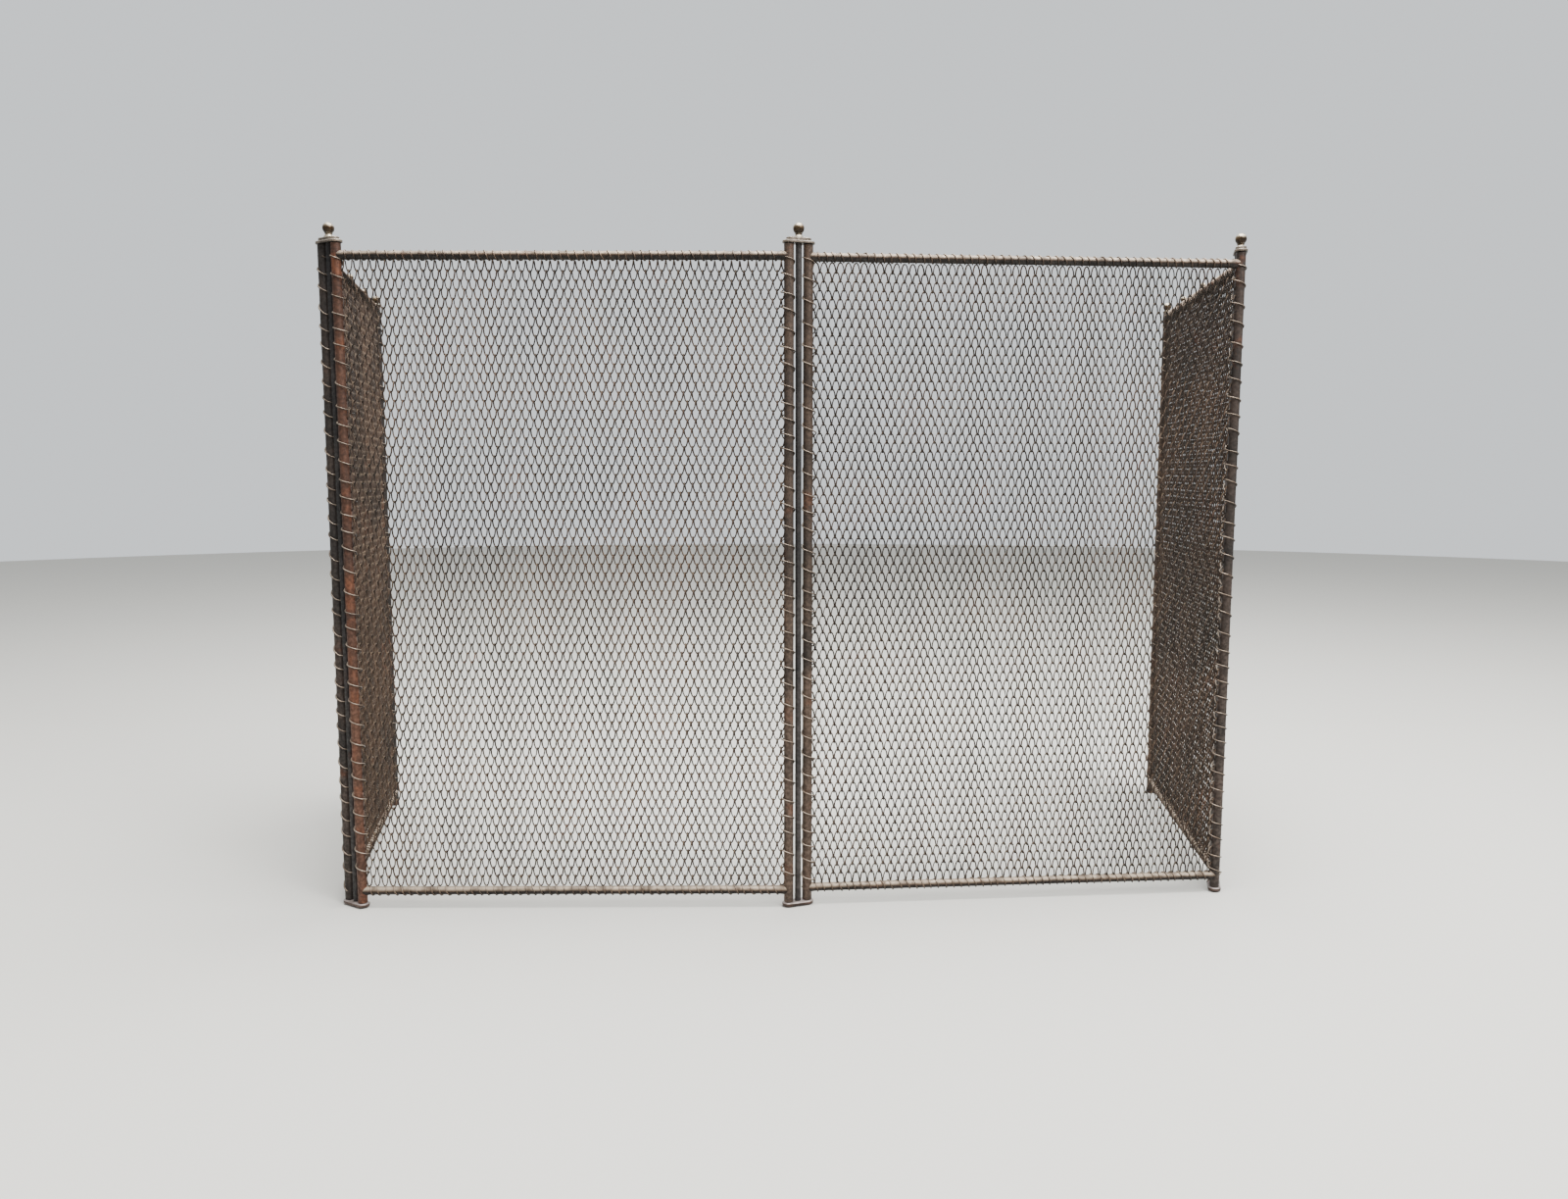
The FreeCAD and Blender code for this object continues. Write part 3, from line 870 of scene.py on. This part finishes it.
for name, (body, *_) in PANELS.items():
    place, width = panel_place(name)
    beads = []
    for rail in ("top_rail", "bottom_rail"):
        height = middle(f"{name}_{rail}").z
        for along, turn in ((0.0, math.pi / 2), (width, -math.pi / 2)):
            bead = turned(f"{name}_bead", bead_outline())
            spot = Matrix.Translation((along, 0, height)) @ Matrix.Rotation(turn, 4, "Y")
            beads.append(settle(bead, place @ spot))
    corners = batter(join(beads, name + "_braze_beads"), BRAZE_DENTS)
    fit(corners, body, "rail_iron", "iron_rail")

# %% [markdown]
# ## A loose end
#
# Low on the right, the lacing's last turn was never tucked in. Its end sticks out past the
# post, a detail that belongs to this screen and shows how the wire was wound. The end leaves the
# post late in its turn, so the link's tie rod can swing past it.

# %% The loose end
LOOSE_STEPS = 13
LOOSE_START, LOOSE_SWEEP = -150, 105  # in degrees round the post
LOOSE_REACH = 11 * MM
place, width = panel_place("right_side")
points = []
for number in range(LOOSE_STEPS + 1):
    share = number / LOOSE_STEPS
    angle = math.radians(LOOSE_START + LOOSE_SWEEP * share)
    out = post_radius + SEAT + LOOSE_REACH * share ** 8
    height = 12 * MM - 4 * MM * share + 4 * MM * share ** 4
    points.append((out * math.cos(angle), out * math.sin(angle), height))
loose_end = settle(thicken(chain("right_side_loose_end", points), BINDING, sides=6), place)
fit(loose_end, "right_side_panel", "binding_wire", "lacing_wire")

# %% [markdown]
# ## Floor, light and camera
#
# A pale floor and broad soft light keep the eye on the screen. Most of the light falls from
# above, as under an open sky, so that the tops of the bars are bright and their undersides
# dark. The camera stands back, half a metre above the floor, and looks slightly down.

# %% Floor
bpy.ops.object.select_all(action="DESELECT")
bpy.ops.mesh.primitive_circle_add(vertices=96, radius=7, fill_type="NGON", location=(0, 0, 0))
floor = named(bpy.context.active_object, "floor")
ground = bpy.data.materials.new("pale_floor")
ground.use_nodes = True
matt = ground.node_tree.nodes["Principled BSDF"]
matt.inputs["Base Color"].default_value = (0.78, 0.76, 0.70, 1)
matt.inputs["Roughness"].default_value = 0.9
floor.data.materials.append(ground)

# %% Light


def soft_light(name, place, toward, size, power):
    """A large square lamp that faces a point."""
    bpy.ops.object.light_add(type="AREA", location=place)
    lamp = bpy.context.active_object
    lamp.name = name
    lamp.data.size = size
    lamp.data.energy = power
    lamp.rotation_euler = (Vector(toward) - Vector(place)).to_track_quat("-Z", "Y").to_euler()


soft_light("open_sky", (0.5, -0.5, 3.2), (0, 0, 0.3), 2.8, 270)
soft_light("right_window", (1.9, -2.2, 2.2), (0, 0, 0.4), 1.0, 48)
print("lamps placed")

# %% [markdown]
# ## The room
#
# The world light is brighter behind the screen than in front of it, as before a pale wall. That
# gives round bars a light side and a dark side.

# %% Room light
world = bpy.data.worlds.new("studio")
world.use_nodes = True
room = world.node_tree
room.nodes["Background"].inputs["Color"].default_value = (0.93, 0.97, 1.0, 1)
parts = room.nodes.new("ShaderNodeSeparateXYZ")
direction = room.nodes.new("ShaderNodeTexCoord").outputs["Generated"]
room.links.new(direction, parts.inputs["Vector"])
brightness = ease(room, parts.outputs["Y"], -0.1, 0.7, 0.42, 0.98)
room.links.new(brightness, room.nodes["Background"].inputs["Strength"])
bpy.context.scene.world = world
print("room lit")

# %% Camera
SENSOR = 36.0
LENS = 25.92
TURN = math.radians(0.42)
LOOK_DOWN = math.radians(6.18)
EYE_LEFT, EYE_BACK, EYE_HEIGHT = 14.8 * MM, 1278.7 * MM, 500 * MM
aim = middle("front_left_inner_post")
eye = Vector((aim.x - EYE_LEFT, aim.y - EYE_BACK, EYE_HEIGHT))
bpy.ops.object.camera_add(location=eye, rotation=(math.pi / 2 - LOOK_DOWN, 0, -TURN))
camera = bpy.context.active_object
camera.name = "camera"
camera.data.sensor_width = SENSOR
camera.data.lens = LENS
bpy.context.scene.camera = camera
print("lens", LENS, "mm")
